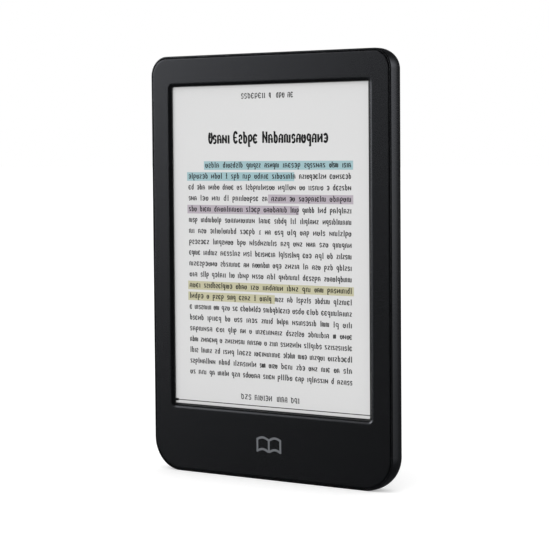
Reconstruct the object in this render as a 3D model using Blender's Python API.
"""A six-inch e-reader, modelled as the assembly that comes apart on a bench.

Frame: the reader stands upright on its bottom edge. +X is the reader's right, +Z runs up the page, and the
page faces -Y. The origin is the centre of the bottom edge, midway between the front and the back. Metres.

Layers from the front to the back: bezel, foam gasket, touch panel, light guide, electrophoretic film,
backplane glass, mid frame, then the battery above and the main board below, and the rear shell round it all.
"""

import math

import bmesh
import bpy
from mathutils import Matrix

MM = 0.001

# ---------------------------------------------------------------- driving dimensions

# Case
WIDTH = 112.0 * MM
HEIGHT = 160.0 * MM
DEPTH = 9.2 * MM
TOP_RADIUS = 7.5 * MM  # outline corners at the top
BOTTOM_RADIUS = 12.5 * MM  # outline corners at the bottom, which are rounder
CORNER_STEPS = 6

# Rear shell
RIM = 0.65 * MM  # width of the shell's front rim, which frames the bezel
RIM_ROUND = 0.4 * MM  # the rim's outer edge
RIM_EDGE = 0.15 * MM  # the rim's inner edge
REBATE = 1.5 * MM  # depth of the step that the bezel drops into
SIDE_WALL = 1.5 * MM
BACK_WALL = 1.5 * MM
BACK_CURVE_DEEP = 6.5 * MM  # the back edge is a quarter ellipse: its size front to back
BACK_CURVE_IN = 3.4 * MM  # and its size inwards
BACK_CURVE_STEPS = 7

# Front bezel and its window
SEAM = 0.3 * MM  # gap between the bezel and the shell's rim
BEZEL_THICK = 1.2 * MM
BEZEL_EDGE = 0.2 * MM
WINDOW_WIDTH = 92.4 * MM
WINDOW_LOW = 25.8 * MM
WINDOW_HIGH = 148.2 * MM
WINDOW_CORNER = 0.8 * MM
LIP_WIDE = 1.6 * MM  # the window's edge is a quarter ellipse: its size across
LIP_DEEP = 1.0 * MM  # and its size front to back
LIP_STEPS = 3

# Snap fit between the bezel and the shell
HOOK_LENGTH = 6.0 * MM
HOOK_INSET = 2.0 * MM  # from the case's outline to the finger's outer face
HOOK_THICK = 0.7 * MM
HOOK_TIP = 3.0 * MM  # depth of the finger's tip behind the front
BARB = 0.35 * MM
BARB_FRONT = 2.4 * MM
CATCH = 0.35 * MM
CATCH_FRONT = 1.7 * MM
CATCH_THICK = 0.5 * MM
JOIN = 0.3 * MM  # how far a joined-on shape runs into its parent
HOOK_ROWS = (38.0 * MM, 74.0 * MM, 110.0 * MM, 140.0 * MM)  # heights of the hooks on the two long sides
HOOK_COLUMNS = (-25.0 * MM, 25.0 * MM)  # places of the hooks on the two short sides

# Layers of the display, as depth behind the bezel's back face
LAYER_GAP = 0.05 * MM
GASKET_THICK = 0.15 * MM
GASKET_INNER = 0.5 * MM  # from the window's edge to the foam's inner edge
GASKET_OUTER = 3.4 * MM
TOUCH_THICK = 0.5 * MM
GUIDE_THICK = 0.5 * MM
FILM_THICK = 0.3 * MM
GLASS_THICK = 0.6 * MM
GLASS_WIDTH = 101.8 * MM
GLASS_LOW = 15.0 * MM
GLASS_HIGH = 152.6 * MM
GUIDE_LOW = 20.0 * MM
TOUCH_LOW = 17.5 * MM
FILM_LOW = 22.5 * MM
LAMINATE_INSET = 1.2 * MM  # the film and the guide stop this far inside the glass
LAYER_CORNER = 0.6 * MM
LIGHT_STRIP = (18.1 * MM, 19.8 * MM)
DRIVER_SIDES = (-14.0 * MM, 10.0 * MM)
DRIVER_ENDS = (18.6 * MM, 20.4 * MM)

# Mid frame
FRAME_INSET = 3.0 * MM
FRAME_THICK = 0.6 * MM
FRAME_GAP = 0.1 * MM
TRAY_WALL = 0.7 * MM
TRAY_CLEAR = 0.4 * MM
TRAY_LOW = 14.0 * MM
PAD_RADIUS = 1.9 * MM  # of the stand-offs under the main board
PORT_NOTCH = (5.8 * MM, 8.8 * MM)  # half width and height
SLOT_LOW = 9.0 * MM  # the slots that the flexes pass through
SLOT_HIGH = 12.3 * MM
DISPLAY_SLOT = (13.5 * MM, 36.5 * MM)
TOUCH_SLOT = (-31.5 * MM, -10.0 * MM)

# Main board
BOARD_HALF_WIDTH = 44.0 * MM
BOARD_LOW = 5.5 * MM
BOARD_HIGH = 48.0 * MM
BOARD_THICK = 0.8 * MM
BOARD_FRONT = 0.0 * MM
SOLDER_GAP = 0.05 * MM
BOARD_PORT_NOTCH = (5.1 * MM, 8.7 * MM)  # half width and height
BOARD_SCREWS = ((-40.5, 9.5), (40.5, 9.5), (-40.5, 44.5), (40.5, 44.5))  # in millimetres
FRAME_SCREWS = ((-38.0, 155.4), (0.0, 155.4), (38.0, 155.4), (-47.5, 10.0), (47.5, 10.0))
SCREW_HOLE = 0.85 * MM  # radius
SCREW_BOSS = 1.3 * MM
SCREW_SHANK = 0.7 * MM
SCREW_HEAD = 1.25 * MM
SCREW_HEAD_THICK = 0.5 * MM
BOSS_SKIN = 0.4 * MM  # plastic left in front of a boss's hole
SHIELD_WALL = 0.2 * MM
SHIELD_CENTRE = (14.0 * MM, 33.0 * MM)
SHIELD_HALF = (16.5 * MM, 9.0 * MM)
SHIELD_TALL = 1.4 * MM
SHIELD_CORNER = 1.0 * MM
FLEX_THICK = 0.12 * MM
FLEX_TURN = 0.5 * MM  # radius of a flex's bends
CONNECTOR_LOW = 14.6 * MM

# Battery
BATTERY_WIDTH = 62.0 * MM
BATTERY_LOW = 58.0 * MM
BATTERY_HIGH = 142.0 * MM
BATTERY_THICK = 3.0 * MM
BATTERY_GAP = 0.2 * MM
BATTERY_SWELL = 0.5 * MM
TAPE_WIDE = 12.0 * MM
TAPE_ENDS = (64.0 * MM, 136.0 * MM)
GUARD_HALF_WIDTH = 26.0 * MM  # the battery's own protection board
GUARD_TALL = 3.1 * MM
ANTENNA_SIDES = (6.0 * MM, 34.0 * MM)
ANTENNA_ENDS = (146.5 * MM, 152.5 * MM)

# USB-C receptacle, to the connector's standard section
PORT_WIDE = 8.94 * MM
PORT_TALL = 3.26 * MM
PORT_WALL = 0.3 * MM
PORT_MOUTH = 0.9 * MM  # height of the receptacle's mouth above the bottom edge
PORT_BACK = 8.2 * MM
TONGUE_WIDE = 6.69 * MM
TONGUE_TALL = 0.7 * MM
TONGUE_LOW = 1.9 * MM
TONGUE_BASE = (3.6 * MM, 1.1 * MM)  # half width and half thickness
SLOT_CLEAR = 0.33 * MM
SEAL_POCKET = (11.2 * MM, 5.3 * MM)  # width and thickness
POCKET_LOW = 2.2 * MM
POCKET_HIGH = 9.05 * MM
SEAL_INNER = (9.4 * MM, 3.72 * MM)
SEAL_OUTER = (10.6 * MM, 4.8 * MM)
SEAL_ENDS = (2.4 * MM, 3.2 * MM)

# Power button on the back
BUTTON_X = -34.0 * MM
BUTTON_Z = 24.0 * MM
BUTTON_RADIUS = 5.0 * MM
BUTTON_CLEAR = 0.3 * MM
BUTTON_SUNK = 0.3 * MM
BUTTON_DISH = 0.2 * MM
BUTTON_STEM = 1.2 * MM
BUTTON_STEM_FRONT = 2.1 * MM
FLANGE_RADIUS = 6.2 * MM
FLANGE_FRONT = 2.5 * MM
FLANGE_BACK = 2.9 * MM
DISH_WIDE = 1.4 * MM  # the shell's hollow round the button
DISH_DEEP = 0.6 * MM
SWITCH_HALF = 2.1 * MM
SWITCH_THICK = 0.8 * MM
SWITCH_WELL = 1.1 * MM
PLUNGER_RADIUS = 0.9 * MM
PLUNGER_FRONT = 1.5 * MM
PLUNGER_BACK = 2.05 * MM
RING_INNER = 6.7 * MM  # the button's gasket
RING_OUTER = 8.3 * MM
RING_FRONT = 2.7 * MM
RING_BACK = 3.0 * MM
LIGHT_Z = 34.0 * MM  # the status light sits above the button
LIGHT_HOLE = 1.1 * MM
PIPE_RADIUS = 0.8 * MM
PIPE_FRONT = 1.7 * MM
PIPE_FLANGE = 1.6 * MM
PIPE_FLANGE_BACK = 2.85 * MM
PIPE_SUNK = 0.1 * MM

# ---------------------------------------------------------------- worked out from them

FRONT = -DEPTH / 2
BACK = DEPTH / 2
BEZEL_BACK = FRONT + BEZEL_THICK
TOUCH_FRONT = BEZEL_BACK + GASKET_THICK + 2 * LAYER_GAP
GUIDE_FRONT = TOUCH_FRONT + TOUCH_THICK + LAYER_GAP
FILM_FRONT = GUIDE_FRONT + GUIDE_THICK + LAYER_GAP
GLASS_FRONT = FILM_FRONT + FILM_THICK + LAYER_GAP
FRAME_FRONT = GLASS_FRONT + GLASS_THICK + FRAME_GAP
FRAME_BACK = FRAME_FRONT + FRAME_THICK
BOARD_BACK = BOARD_FRONT + BOARD_THICK
CHIP_FRONT = BOARD_BACK + SOLDER_GAP
CAVITY_BACK = BACK - BACK_WALL
BEZEL_INSET = RIM + SEAM


# ---------------------------------------------------------------- modelling helpers


def clear_scene():
    for obj in list(bpy.data.objects):
        bpy.data.objects.remove(obj)


def material(name, colour, roughness, metallic=0.0):
    made = bpy.data.materials.get(name)
    if made:
        return made
    made = bpy.data.materials.new(name)
    made.use_nodes = True
    shader = made.node_tree.nodes["Principled BSDF"]
    shader.inputs["Base Color"].default_value = (*colour, 1.0)
    shader.inputs["Roughness"].default_value = roughness
    shader.inputs["Metallic"].default_value = metallic
    return made


def new_object(name, bm, paint=None, smooth_over=None, at=(0.0, 0.0, 0.0)):
    """Makes an object of a bmesh whose points are in the part's frame, with its origin at a given point."""
    bmesh.ops.recalc_face_normals(bm, faces=bm.faces)
    bmesh.ops.translate(bm, vec=[-c for c in at], verts=bm.verts)
    mesh = bpy.data.meshes.new(name)
    bm.to_mesh(mesh)
    bm.free()
    if smooth_over is not None:
        mesh.shade_smooth()
        mesh.set_sharp_from_angle(angle=math.radians(smooth_over))
    obj = bpy.data.objects.new(name, mesh)
    obj.location = at
    bpy.context.scene.collection.objects.link(obj)
    if paint:
        mesh.materials.append(paint)
    return obj


def loft(rings, closed=False):
    """A solid skinned over rings of points, capped at both ends or closed on itself like a picture frame."""
    bm = bmesh.new()
    made = [[bm.verts.new(point) for point in ring] for ring in rings]
    pairs = list(zip(made, made[1:]))
    if closed:
        pairs.append((made[-1], made[0]))
    else:
        bm.faces.new(made[0])
        bm.faces.new(made[-1])
    for low, high in pairs:
        for i in range(len(low)):
            j = (i + 1) % len(low)
            bm.faces.new((low[i], low[j], high[j], high[i]))
    return bm


def arc(centre_a, centre_b, radius, start, steps):
    """Points of a quarter turn, anticlockwise from the start angle in quarter turns."""
    points = []
    for i in range(steps + 1):
        angle = math.pi / 2 * (start + i / steps)
        points.append((centre_a + radius * math.cos(angle), centre_b + radius * math.sin(angle)))
    return points


def rounded_rectangle(left, right, low, high, low_radius, high_radius, steps):
    """The corners' points of an upright rectangle, anticlockwise, with one radius below and another above."""
    points = arc(right - high_radius, high - high_radius, high_radius, 0, steps)
    points += arc(left + high_radius, high - high_radius, high_radius, 1, steps)
    points += arc(left + low_radius, low + low_radius, low_radius, 2, steps)
    points += arc(right - low_radius, low + low_radius, low_radius, 3, steps)
    return points


def case_ring(inset, y):
    """The case's outline, moved inwards by an inset, at a depth."""
    least = 0.5 * MM
    outline = rounded_rectangle(
        -WIDTH / 2 + inset,
        WIDTH / 2 - inset,
        inset,
        HEIGHT - inset,
        max(BOTTOM_RADIUS - inset, least),
        max(TOP_RADIUS - inset, least),
        CORNER_STEPS,
    )
    return [(x, y, z) for x, z in outline]


def panel_ring(half_width, low, high, radius, y, steps=CORNER_STEPS):
    outline = rounded_rectangle(-half_width, half_width, low, high, radius, radius, steps)
    return [(x, y, z) for x, z in outline]


def port_ring(width, height, z, steps=4):
    """The USB-C section, a flat oval, at a height."""
    radius = height / 2 - 0.02 * MM
    outline = rounded_rectangle(-width / 2, width / 2, -height / 2, height / 2, radius, radius, steps)
    return [(x, y, z) for x, y in outline]


def turned(profile, x, z, steps=16):
    """A solid of revolution about a line along Y, from (radius, y) pairs. Both ends are flat."""
    rings = []
    for radius, y in profile:
        turns = [2 * math.pi * i / steps for i in range(steps)]
        rings.append([(x + radius * math.cos(a), y, z + radius * math.sin(a)) for a in turns])
    return loft(rings)


def block(x0, x1, y0, y1, z0, z1, edge=0.0):
    """A box between six planes, with its edges chamfered."""
    bm = bmesh.new()
    bmesh.ops.create_cube(bm, size=1.0)
    size = Matrix.Diagonal((x1 - x0, y1 - y0, z1 - z0, 1.0))
    place = Matrix.Translation(((x0 + x1) / 2, (y0 + y1) / 2, (z0 + z1) / 2))
    bmesh.ops.transform(bm, matrix=place @ size, verts=bm.verts)
    if edge:
        bmesh.ops.bevel(bm, geom=bm.edges, offset=edge, segments=1, affect="EDGES")
    return bm


def ribbon(path, thick, x0, x1):
    """A flat flexible circuit that follows a path of (y, z) points and is as wide as x0 to x1."""
    near, far = [], []
    for i, (y, z) in enumerate(path):
        y0, z0 = path[max(i - 1, 0)]
        y1, z1 = path[min(i + 1, len(path) - 1)]
        length = math.hypot(y1 - y0, z1 - z0)
        side_y = -(z1 - z0) / length * thick / 2
        side_z = (y1 - y0) / length * thick / 2
        near.append((y + side_y, z + side_z))
        far.append((y - side_y, z - side_z))
    section = near + far[::-1]
    return loft([[(x, y, z) for y, z in section] for x in (x0, x1)])


def merged(parts):
    """Several bmeshes in one, as a tool for a Boolean."""
    whole = bmesh.new()
    for bm in parts:
        bmesh.ops.recalc_face_normals(bm, faces=bm.faces)
        mesh = bpy.data.meshes.new("part_of_tool")
        bm.to_mesh(mesh)
        bm.free()
        whole.from_mesh(mesh)
        bpy.data.meshes.remove(mesh)
    return whole


def boolean(target, name, operation, parts):
    """Cuts shapes from the target, or joins shapes to it."""
    tool = new_object(f"{target.name}_{name}", merged(parts))
    tool.hide_render = True
    tool.display_type = "WIRE"
    modifier = target.modifiers.new(name, "BOOLEAN")
    modifier.operation = operation
    modifier.solver = "EXACT"
    modifier.object = tool


# ---------------------------------------------------------------- materials

CASE_BLACK = material("case_black", (0.022, 0.022, 0.023), 0.48)
BUTTON_BLACK = material("button_black", (0.030, 0.030, 0.032), 0.42)
FOAM = material("foam", (0.010, 0.010, 0.010), 0.9)
SEAL_RUBBER = material("seal_rubber", (0.020, 0.020, 0.020), 0.7)
PAGE = material("page", (0.700, 0.700, 0.700), 0.35)
CLEAR_GUIDE = material("clear_guide", (0.820, 0.850, 0.860), 0.05)
FILM = material("electrophoretic_film", (0.660, 0.660, 0.640), 0.5)
GLASS = material("backplane_glass", (0.300, 0.330, 0.330), 0.1)
FRAME_METAL = material("frame_metal", (0.420, 0.420, 0.430), 0.45, 1.0)
BOARD_MASK = material("board_mask", (0.010, 0.075, 0.040), 0.35)
CHIP = material("chip", (0.025, 0.025, 0.028), 0.55)
TIN = material("tinned_steel", (0.620, 0.620, 0.600), 0.32, 1.0)
CONNECTOR = material("connector_plastic", (0.600, 0.570, 0.480), 0.5)
FLEX = material("polyimide_flex", (0.420, 0.160, 0.030), 0.35)
POUCH = material("battery_pouch", (0.540, 0.550, 0.560), 0.38, 1.0)
TAPE = material("tape", (0.050, 0.050, 0.050), 0.6)
LENS = material("light_pipe", (0.750, 0.770, 0.780), 0.15)
STEEL = material("screw_steel", (0.300, 0.300, 0.310), 0.35, 1.0)


# ---------------------------------------------------------------- case


def back_curve(base_inset, front, deep, inwards, steps):
    """(inset, y) pairs of the quarter ellipse that turns a side wall into the back."""
    pairs = []
    for i in range(steps + 1):
        angle = math.pi / 2 * i / steps
        pairs.append((base_inset + inwards * (1 - math.cos(angle)), front + deep * math.sin(angle)))
    return pairs


def hook_places():
    """(x, z, outward x, outward z) of each snap, at the case's outline."""
    places = []
    for side in (-1, 1):
        places += [(side * WIDTH / 2, z, side, 0) for z in HOOK_ROWS]
    for x in HOOK_COLUMNS:
        places += [(x, 0.0, 0, -1), (x, HEIGHT, 0, 1)]
    return places


def snap_block(place, inset_out, inset_in, front, back):
    """A block along one edge of the case, between two insets and two depths."""
    x, z, out_x, out_z = place
    half = HOOK_LENGTH / 2
    if out_x:
        ends = sorted((x - out_x * inset_out, x - out_x * inset_in))
        return block(ends[0], ends[1], front, back, z - half, z + half)
    ends = sorted((z - out_z * inset_out, z - out_z * inset_in))
    return block(x - half, x + half, front, back, ends[0], ends[1])


def make_rear_shell():
    curve_front = BACK - BACK_CURVE_DEEP
    outer = [(RIM_ROUND, FRONT), (RIM_ROUND * 0.3, FRONT + RIM_ROUND * 0.3), (0.0, FRONT + RIM_ROUND)]
    outer += back_curve(0.0, curve_front, BACK_CURVE_DEEP, BACK_CURVE_IN, BACK_CURVE_STEPS)
    inner_deep = CAVITY_BACK - curve_front
    inner = back_curve(SIDE_WALL, curve_front, inner_deep, BACK_CURVE_IN - SIDE_WALL, BACK_CURVE_STEPS - 2)
    inner = inner[::-1] + [(SIDE_WALL, FRONT + REBATE), (RIM, FRONT + REBATE), (RIM, FRONT + RIM_EDGE)]
    shell = new_object(
        "rear_shell",
        loft([case_ring(inset, y) for inset, y in inner + outer]),
        CASE_BLACK,
        35,
    )
    catch_front = FRONT + CATCH_FRONT
    catches = [
        snap_block(place, SIDE_WALL - JOIN, SIDE_WALL + CATCH, catch_front, catch_front + CATCH_THICK)
        for place in hook_places()
    ]
    boolean(shell, "catches", "UNION", catches)
    slot_wide = PORT_WIDE + 2 * SLOT_CLEAR
    slot_tall = PORT_TALL + 2 * SLOT_CLEAR
    port_slot = loft([port_ring(slot_wide, slot_tall, z) for z in (-2.0 * MM, POCKET_HIGH - LAYER_GAP)])
    seal_pocket = loft([port_ring(*SEAL_POCKET, z) for z in (POCKET_LOW, POCKET_HIGH)])
    boolean(shell, "port_slot", "DIFFERENCE", [port_slot])
    boolean(shell, "seal_pocket", "DIFFERENCE", [seal_pocket])
    hole = BUTTON_RADIUS + BUTTON_CLEAR
    button_hole = turned(
        [
            (hole, CAVITY_BACK - 1 * MM),
            (hole, BACK - DISH_DEEP),
            (hole + DISH_WIDE / 2, BACK - DISH_DEEP / 2),
            (hole + DISH_WIDE, BACK),
            (hole + DISH_WIDE, BACK + 1 * MM),
        ],
        BUTTON_X,
        BUTTON_Z,
        32,
    )
    ends = CAVITY_BACK - 1 * MM, BACK + 1 * MM
    light_hole = turned([(LIGHT_HOLE, y) for y in ends], BUTTON_X, LIGHT_Z)
    boolean(shell, "button_holes", "DIFFERENCE", [button_hole, light_hole])


def make_front_bezel():
    half = WINDOW_WIDTH / 2
    rings = [case_ring(BEZEL_INSET, BEZEL_BACK), case_ring(BEZEL_INSET, FRONT + BEZEL_EDGE)]
    rings.append(case_ring(BEZEL_INSET + BEZEL_EDGE, FRONT))
    for i in range(LIP_STEPS + 1):
        angle = math.pi / 2 * i / LIP_STEPS
        out = LIP_WIDE * (1 - math.sin(angle))
        y = FRONT + LIP_DEEP * (1 - math.cos(angle))
        radius = WINDOW_CORNER + out
        rings.append(panel_ring(half + out, WINDOW_LOW - out, WINDOW_HIGH + out, radius, y))
    rings.append(panel_ring(half, WINDOW_LOW, WINDOW_HIGH, WINDOW_CORNER, BEZEL_BACK))
    bezel = new_object("front_bezel", loft(rings, closed=True), CASE_BLACK, 35)
    root = BEZEL_BACK - JOIN
    barb_front = FRONT + BARB_FRONT
    tip = FRONT + HOOK_TIP
    fingers = [snap_block(p, HOOK_INSET, HOOK_INSET + HOOK_THICK, root, tip) for p in hook_places()]
    inside = HOOK_INSET + HOOK_THICK / 2
    barb_back = tip - LAYER_GAP
    barbs = [snap_block(p, HOOK_INSET - BARB, inside, barb_front, barb_back) for p in hook_places()]
    boss_ends = root, FRAME_FRONT - LAYER_GAP
    bosses = [turned([(SCREW_BOSS, y) for y in boss_ends], x * MM, z * MM, 12) for x, z in FRAME_SCREWS]
    boolean(bezel, "fingers", "UNION", fingers + bosses)
    boolean(bezel, "barbs", "UNION", barbs)
    pilot_ends = BEZEL_BACK + BOSS_SKIN, BACK
    pilots = [turned([(SCREW_HOLE, y) for y in pilot_ends], x * MM, z * MM, 12) for x, z in FRAME_SCREWS]
    boolean(bezel, "pilots", "DIFFERENCE", pilots)


# ---------------------------------------------------------------- display


def make_display():
    front = BEZEL_BACK + LAYER_GAP
    back = front + GASKET_THICK
    foam = []
    inner, outer = GASKET_INNER, GASKET_OUTER
    for margin, y in ((inner, front), (outer, front), (outer, back), (inner, back)):
        half, radius = WINDOW_WIDTH / 2 + margin, GASKET_INNER + margin
        foam.append(panel_ring(half, WINDOW_LOW - margin, WINDOW_HIGH + margin, radius, y, 3))
    new_object("bezel_gasket", loft(foam, closed=True), FOAM)
    half_glass = GLASS_WIDTH / 2
    half_laminate = half_glass - LAMINATE_INSET
    laminate_high = GLASS_HIGH - LAMINATE_INSET
    layers = (
        ("touch_panel", half_glass, TOUCH_LOW, GLASS_HIGH, TOUCH_FRONT, TOUCH_THICK, PAGE),
        ("light_guide", half_laminate, GUIDE_LOW, laminate_high, GUIDE_FRONT, GUIDE_THICK, CLEAR_GUIDE),
        ("paper_film", half_laminate, FILM_LOW, laminate_high, FILM_FRONT, FILM_THICK, FILM),
        ("backplane_glass", half_glass, GLASS_LOW, GLASS_HIGH, GLASS_FRONT, GLASS_THICK, GLASS),
    )
    for name, half, low, high, y, thick, paint in layers:
        rings = [panel_ring(half, low, high, LAYER_CORNER, depth, 2) for depth in (y, y + thick)]
        new_object(name, loft(rings), paint)
    strip_back = GUIDE_FRONT + GUIDE_THICK
    strip = block(-half_laminate, half_laminate, GUIDE_FRONT, strip_back, *LIGHT_STRIP)
    new_object("front_light_strip", strip, CONNECTOR)
    driver_back = GLASS_FRONT - LAYER_GAP
    driver = block(*DRIVER_SIDES, FILM_FRONT, driver_back, *DRIVER_ENDS, 0.05 * MM)
    new_object("panel_driver_chip", driver, CHIP)


# ---------------------------------------------------------------- mid frame


def make_mid_frame():
    plate = loft([case_ring(FRAME_INSET, y) for y in (FRAME_FRONT, FRAME_BACK)])
    frame = new_object("mid_frame", plate, FRAME_METAL)
    inside = GLASS_WIDTH / 2 + TRAY_CLEAR
    outside = inside + TRAY_WALL
    low, high = TRAY_LOW, GLASS_HIGH + TRAY_CLEAR
    tray_front = FILM_FRONT
    root = FRAME_FRONT + FRAME_THICK / 2
    walls = [block(*sorted((side * inside, side * outside)), tray_front, root, low, high) for side in (-1, 1)]
    walls.append(block(-outside, outside, tray_front, root, high, high + TRAY_WALL))
    pad_ends = root, BOARD_FRONT - SOLDER_GAP
    pads = [turned([(PAD_RADIUS, y) for y in pad_ends], x * MM, z * MM, 12) for x, z in BOARD_SCREWS]
    boolean(frame, "pads", "UNION", pads)
    boolean(frame, "walls", "UNION", [walls[2]])
    boolean(frame, "side_walls", "UNION", walls[:2])
    far = FRONT, BACK
    holes = [block(x0, x1, *far, SLOT_LOW, SLOT_HIGH) for x0, x1 in (DISPLAY_SLOT, TOUCH_SLOT)]
    holes.append(block(-PORT_NOTCH[0], PORT_NOTCH[0], *far, -1 * MM, PORT_NOTCH[1]))
    for x, z in BOARD_SCREWS + FRAME_SCREWS:
        holes.append(turned([(SCREW_HOLE, y) for y in far], x * MM, z * MM, 12))
    boolean(frame, "holes", "DIFFERENCE", holes)


# ---------------------------------------------------------------- main board and what is on it


def make_main_board():
    bm = block(-BOARD_HALF_WIDTH, BOARD_HALF_WIDTH, BOARD_FRONT, BOARD_BACK, BOARD_LOW, BOARD_HIGH)
    board = new_object("main_board", bm, BOARD_MASK)
    far = FRONT, BACK
    notches = [block(x0, x1, *far, 0.0, SLOT_HIGH) for x0, x1 in (DISPLAY_SLOT, TOUCH_SLOT)]
    notches.append(block(-BOARD_PORT_NOTCH[0], BOARD_PORT_NOTCH[0], *far, 0.0, BOARD_PORT_NOTCH[1]))
    for x, z in BOARD_SCREWS:
        notches.append(turned([(SCREW_HOLE, y) for y in far], x * MM, z * MM, 12))
    boolean(board, "notches", "DIFFERENCE", notches)


def chip(name, x, z, width, height, thick, paint=CHIP, edge=0.08):
    """A component soldered to the back of the board. Its sizes are in millimetres."""
    bm = block(
        (x - width / 2) * MM,
        (x + width / 2) * MM,
        CHIP_FRONT,
        CHIP_FRONT + thick * MM,
        (z - height / 2) * MM,
        (z + height / 2) * MM,
        edge * MM,
    )
    return new_object(name, bm, paint)


def make_components():
    chip("processor", 6.0, 33.0, 12.0, 12.0, 0.8)
    chip("memory_chip", 21.5, 33.0, 10.0, 13.0, 0.8)
    chip("storage_chip", -14.0, 26.0, 11.5, 12.0, 1.0)
    chip("wireless_module", -14.0, 40.5, 11.0, 10.0, 1.5, TIN)
    chip("power_chip", 37.0, 36.0, 6.0, 6.0, 0.8)
    chip("display_inductor", 37.0, 27.0, 4.5, 4.5, 1.7, CHIP, 0.4)
    chip("cover_sensor", 41.5, 19.0, 2.9, 1.6, 1.0)
    chip("status_led", BUTTON_X / MM, LIGHT_Z / MM, 1.6, 0.9, 0.5, LENS)
    chip("display_connector", 25.0, 16.4, 20.0, 3.2, 1.1, CONNECTOR)
    chip("touch_connector", -14.0, 16.4, 6.0, 3.2, 1.1, CONNECTOR)
    chip("light_connector", -26.5, 16.4, 5.0, 3.2, 1.1, CONNECTOR)
    chip("battery_connector", -28.0, 44.6, 7.0, 3.4, 1.1, CONNECTOR)


def make_shield_can():
    """A drawn lid over the processor and memory, open towards the board."""

    def ring(inset, y):
        half_x, half_z = (half - inset for half in SHIELD_HALF)
        radius = SHIELD_CORNER - inset
        x, z = SHIELD_CENTRE
        outline = rounded_rectangle(x - half_x, x + half_x, z - half_z, z + half_z, radius, radius, 2)
        return [(x, y, z) for x, z in outline]

    top = CHIP_FRONT + SHIELD_TALL
    rings = [
        ring(SHIELD_WALL, top - SHIELD_WALL),
        ring(SHIELD_WALL, CHIP_FRONT),
        ring(0.0, CHIP_FRONT),
        ring(0.0, top - SHIELD_WALL),
        ring(SHIELD_WALL, top),
    ]
    new_object("shield_can", loft(rings), TIN)


def bend(centre_y, centre_z, radius, start, end, steps=4):
    """(y, z) points of a round bend between two angles in degrees."""
    points = []
    for i in range(steps + 1):
        angle = math.radians(start + (end - start) * i / steps)
        points.append((centre_y + radius * math.cos(angle), centre_z + radius * math.sin(angle)))
    return points


def make_flexes():
    """Each flex leaves its layer downwards, turns back through the board and rises to its connector."""
    tail = CHIP_FRONT + 0.45 * MM
    flexes = (
        ("display_flex", GLASS_FRONT - FLEX_THICK, 18.2 * MM, 15.5 * MM, 34.5 * MM),
        ("touch_flex", TOUCH_FRONT + 0.25 * MM, TOUCH_LOW - LAYER_GAP, -16.5 * MM, -11.5 * MM),
        ("light_flex", GUIDE_FRONT + 0.25 * MM, 18.05 * MM, -28.5 * MM, -24.5 * MM),
    )
    for name, front, top, x0, x1 in flexes:
        turn_z = SLOT_LOW + 1.6 * MM + FLEX_TURN
        path = [(front, top)]
        path += bend(front + FLEX_TURN, turn_z, FLEX_TURN, 180, 270)
        path += bend(tail - FLEX_TURN, turn_z, FLEX_TURN, 270, 360)
        path.append((tail, CONNECTOR_LOW))
        new_object(name, ribbon(path, FLEX_THICK, x0, x1), FLEX)


# ---------------------------------------------------------------- power button


def make_power_button():
    """The cap's origin and the plunger's lie on the line that both slide along."""
    top = BACK - BUTTON_SUNK
    cap = turned(
        [
            (BUTTON_STEM, BUTTON_STEM_FRONT),
            (BUTTON_STEM, FLANGE_FRONT),
            (FLANGE_RADIUS, FLANGE_FRONT),
            (FLANGE_RADIUS, FLANGE_BACK),
            (BUTTON_RADIUS, FLANGE_BACK),
            (BUTTON_RADIUS, top - 0.25 * MM),
            (BUTTON_RADIUS - 0.25 * MM, top),
            (BUTTON_RADIUS - 1.2 * MM, top - BUTTON_DISH / 4),
            (BUTTON_STEM, top - BUTTON_DISH),
        ],
        BUTTON_X,
        BUTTON_Z,
        32,
    )
    new_object("power_button", cap, BUTTON_BLACK, 35, (BUTTON_X, top, BUTTON_Z))
    sides = BUTTON_X - SWITCH_HALF, BUTTON_X + SWITCH_HALF
    ends = BUTTON_Z - SWITCH_HALF, BUTTON_Z + SWITCH_HALF
    body = block(*sides, CHIP_FRONT, CHIP_FRONT + SWITCH_THICK, *ends, 0.08 * MM)
    switch = new_object("power_switch", body, TIN)
    well = turned([(SWITCH_WELL, y) for y in (CHIP_FRONT + 0.3 * MM, BACK)], BUTTON_X, BUTTON_Z)
    boolean(switch, "well", "DIFFERENCE", [well])
    plunger = turned([(PLUNGER_RADIUS, y) for y in (PLUNGER_FRONT, PLUNGER_BACK)], BUTTON_X, BUTTON_Z)
    new_object("switch_plunger", plunger, CHIP, 35, (BUTTON_X, PLUNGER_BACK, BUTTON_Z))


def make_button_gasket():
    turns = [2 * math.pi * i / 24 for i in range(24)]
    rings = []
    for radius, y in (
        (RING_INNER, RING_FRONT),
        (RING_OUTER, RING_FRONT),
        (RING_OUTER, RING_BACK),
        (RING_INNER, RING_BACK),
    ):
        rings.append([(BUTTON_X + radius * math.cos(a), y, BUTTON_Z + radius * math.sin(a)) for a in turns])
    new_object("button_gasket", loft(rings, closed=True), SEAL_RUBBER)


def make_light_pipe():
    profile = [
        (PIPE_RADIUS, PIPE_FRONT),
        (PIPE_RADIUS, FLANGE_FRONT),
        (PIPE_FLANGE, FLANGE_FRONT),
        (PIPE_FLANGE, PIPE_FLANGE_BACK),
        (PIPE_RADIUS, PIPE_FLANGE_BACK),
        (PIPE_RADIUS, BACK - PIPE_SUNK),
    ]
    new_object("status_light_pipe", turned(profile, BUTTON_X, LIGHT_Z, 12), LENS)


# ---------------------------------------------------------------- USB-C port


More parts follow.
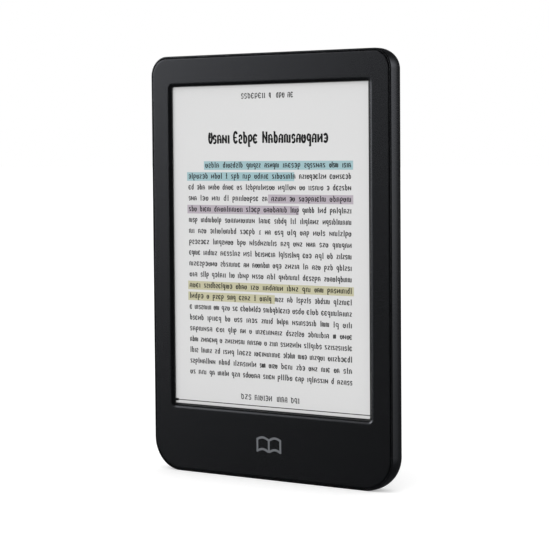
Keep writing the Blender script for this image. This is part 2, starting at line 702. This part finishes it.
def make_port():
    inner_wide = PORT_WIDE - 2 * PORT_WALL
    inner_tall = PORT_TALL - 2 * PORT_WALL
    floor = PORT_BACK - 0.5 * MM
    rings = [
        port_ring(inner_wide, inner_tall, floor),
        port_ring(inner_wide, inner_tall, PORT_MOUTH),
        port_ring(PORT_WIDE, PORT_TALL, PORT_MOUTH),
        port_ring(PORT_WIDE, PORT_TALL, PORT_BACK),
    ]
    new_object("port_shell", loft(rings), TIN, 35)
    half_wide, half_tall = TONGUE_WIDE / 2, TONGUE_TALL / 2
    tongue = new_object(
        "port_tongue",
        block(-half_wide, half_wide, -half_tall, half_tall, TONGUE_LOW, floor - 0.6 * MM, 0.12 * MM),
        CHIP,
    )
    wide, tall = TONGUE_BASE
    base = block(-wide, wide, -tall, tall, floor - 1.3 * MM, floor - LAYER_GAP)
    boolean(tongue, "base", "UNION", [base])
    low, high = SEAL_ENDS
    seal = [port_ring(*size, z) for size, z in ((SEAL_INNER, low), (SEAL_OUTER, low), (SEAL_OUTER, high))]
    seal.append(port_ring(*SEAL_INNER, high))
    new_object("port_seal", loft(seal, closed=True), SEAL_RUBBER)


# ---------------------------------------------------------------- battery and antenna


def make_battery():
    front = FRAME_BACK + BATTERY_GAP
    back = front + BATTERY_THICK
    half, swell = BATTERY_WIDTH / 2, BATTERY_SWELL
    rings = [
        panel_ring(half - swell, BATTERY_LOW + swell, BATTERY_HIGH - swell, 1.5 * MM, front, 3),
        panel_ring(half, BATTERY_LOW, BATTERY_HIGH, 2.0 * MM, front + swell, 3),
        panel_ring(half, BATTERY_LOW, BATTERY_HIGH, 2.0 * MM, back - swell, 3),
        panel_ring(half - swell, BATTERY_LOW + swell, BATTERY_HIGH - swell, 1.5 * MM, back, 3),
    ]
    new_object("battery_cell", loft(rings), POUCH, 35)
    for name, left in (("battery_tape_left", -26.0 * MM), ("battery_tape_right", 14.0 * MM)):
        tape_front, tape_back = FRAME_BACK + LAYER_GAP, front - LAYER_GAP
        new_object(name, block(left, left + TAPE_WIDE, tape_front, tape_back, *TAPE_ENDS), TAPE)
    guard_high = BATTERY_LOW - 0.3 * MM
    guard_low = guard_high - GUARD_TALL
    sides = -GUARD_HALF_WIDTH, GUARD_HALF_WIDTH
    guard = block(*sides, front + 0.6 * MM, front + 1.8 * MM, guard_low, guard_high, 0.1 * MM)
    new_object("battery_guard_board", guard, BOARD_MASK)
    start, end = front + 1.98 * MM, CHIP_FRONT + 1.28 * MM
    path = [(start, guard_high), (start, guard_low - 0.4 * MM), (end, guard_low - 3.4 * MM), (end, 43.4 * MM)]
    new_object("battery_flex", ribbon(path, FLEX_THICK, -30.5 * MM, -25.5 * MM), FLEX)


def make_antenna():
    front = FRAME_BACK + LAYER_GAP
    strip = block(*ANTENNA_SIDES, front, front + 0.15 * MM, *ANTENNA_ENDS)
    new_object("wireless_antenna", strip, FLEX)


# ---------------------------------------------------------------- fasteners


def screw(name, x, z, head_front, tip):
    """A small pan-head screw driven from the back, with a round recess. Its head seats on head_front."""
    head_back = head_front + SCREW_HEAD_THICK
    profile = [
        (SCREW_SHANK / 2, tip),
        (SCREW_SHANK, tip + 0.3 * MM),
        (SCREW_SHANK, head_front),
        (SCREW_HEAD, head_front),
        (SCREW_HEAD, head_back - 0.2 * MM),
        (0.95 * MM, head_back),
        (0.45 * MM, head_back),
        (0.45 * MM, head_back - 0.3 * MM),
    ]
    new_object(name, turned(profile, x * MM, z * MM, 12), STEEL, 35)


def make_screws():
    for i, (x, z) in enumerate(BOARD_SCREWS, 1):
        screw(f"board_screw_{i}", x, z, BOARD_BACK + SOLDER_GAP, FRAME_FRONT + SOLDER_GAP)
    for i, (x, z) in enumerate(FRAME_SCREWS, 1):
        screw(f"frame_screw_{i}", x, z, FRAME_BACK + SOLDER_GAP, BEZEL_BACK + 0.7 * MM)


# ---------------------------------------------------------------- assembly

clear_scene()
make_rear_shell()
make_front_bezel()
make_display()
make_mid_frame()
make_main_board()
make_components()
make_shield_can()
make_flexes()
make_power_button()
make_button_gasket()
make_light_pipe()
make_port()
make_battery()
make_antenna()
make_screws()
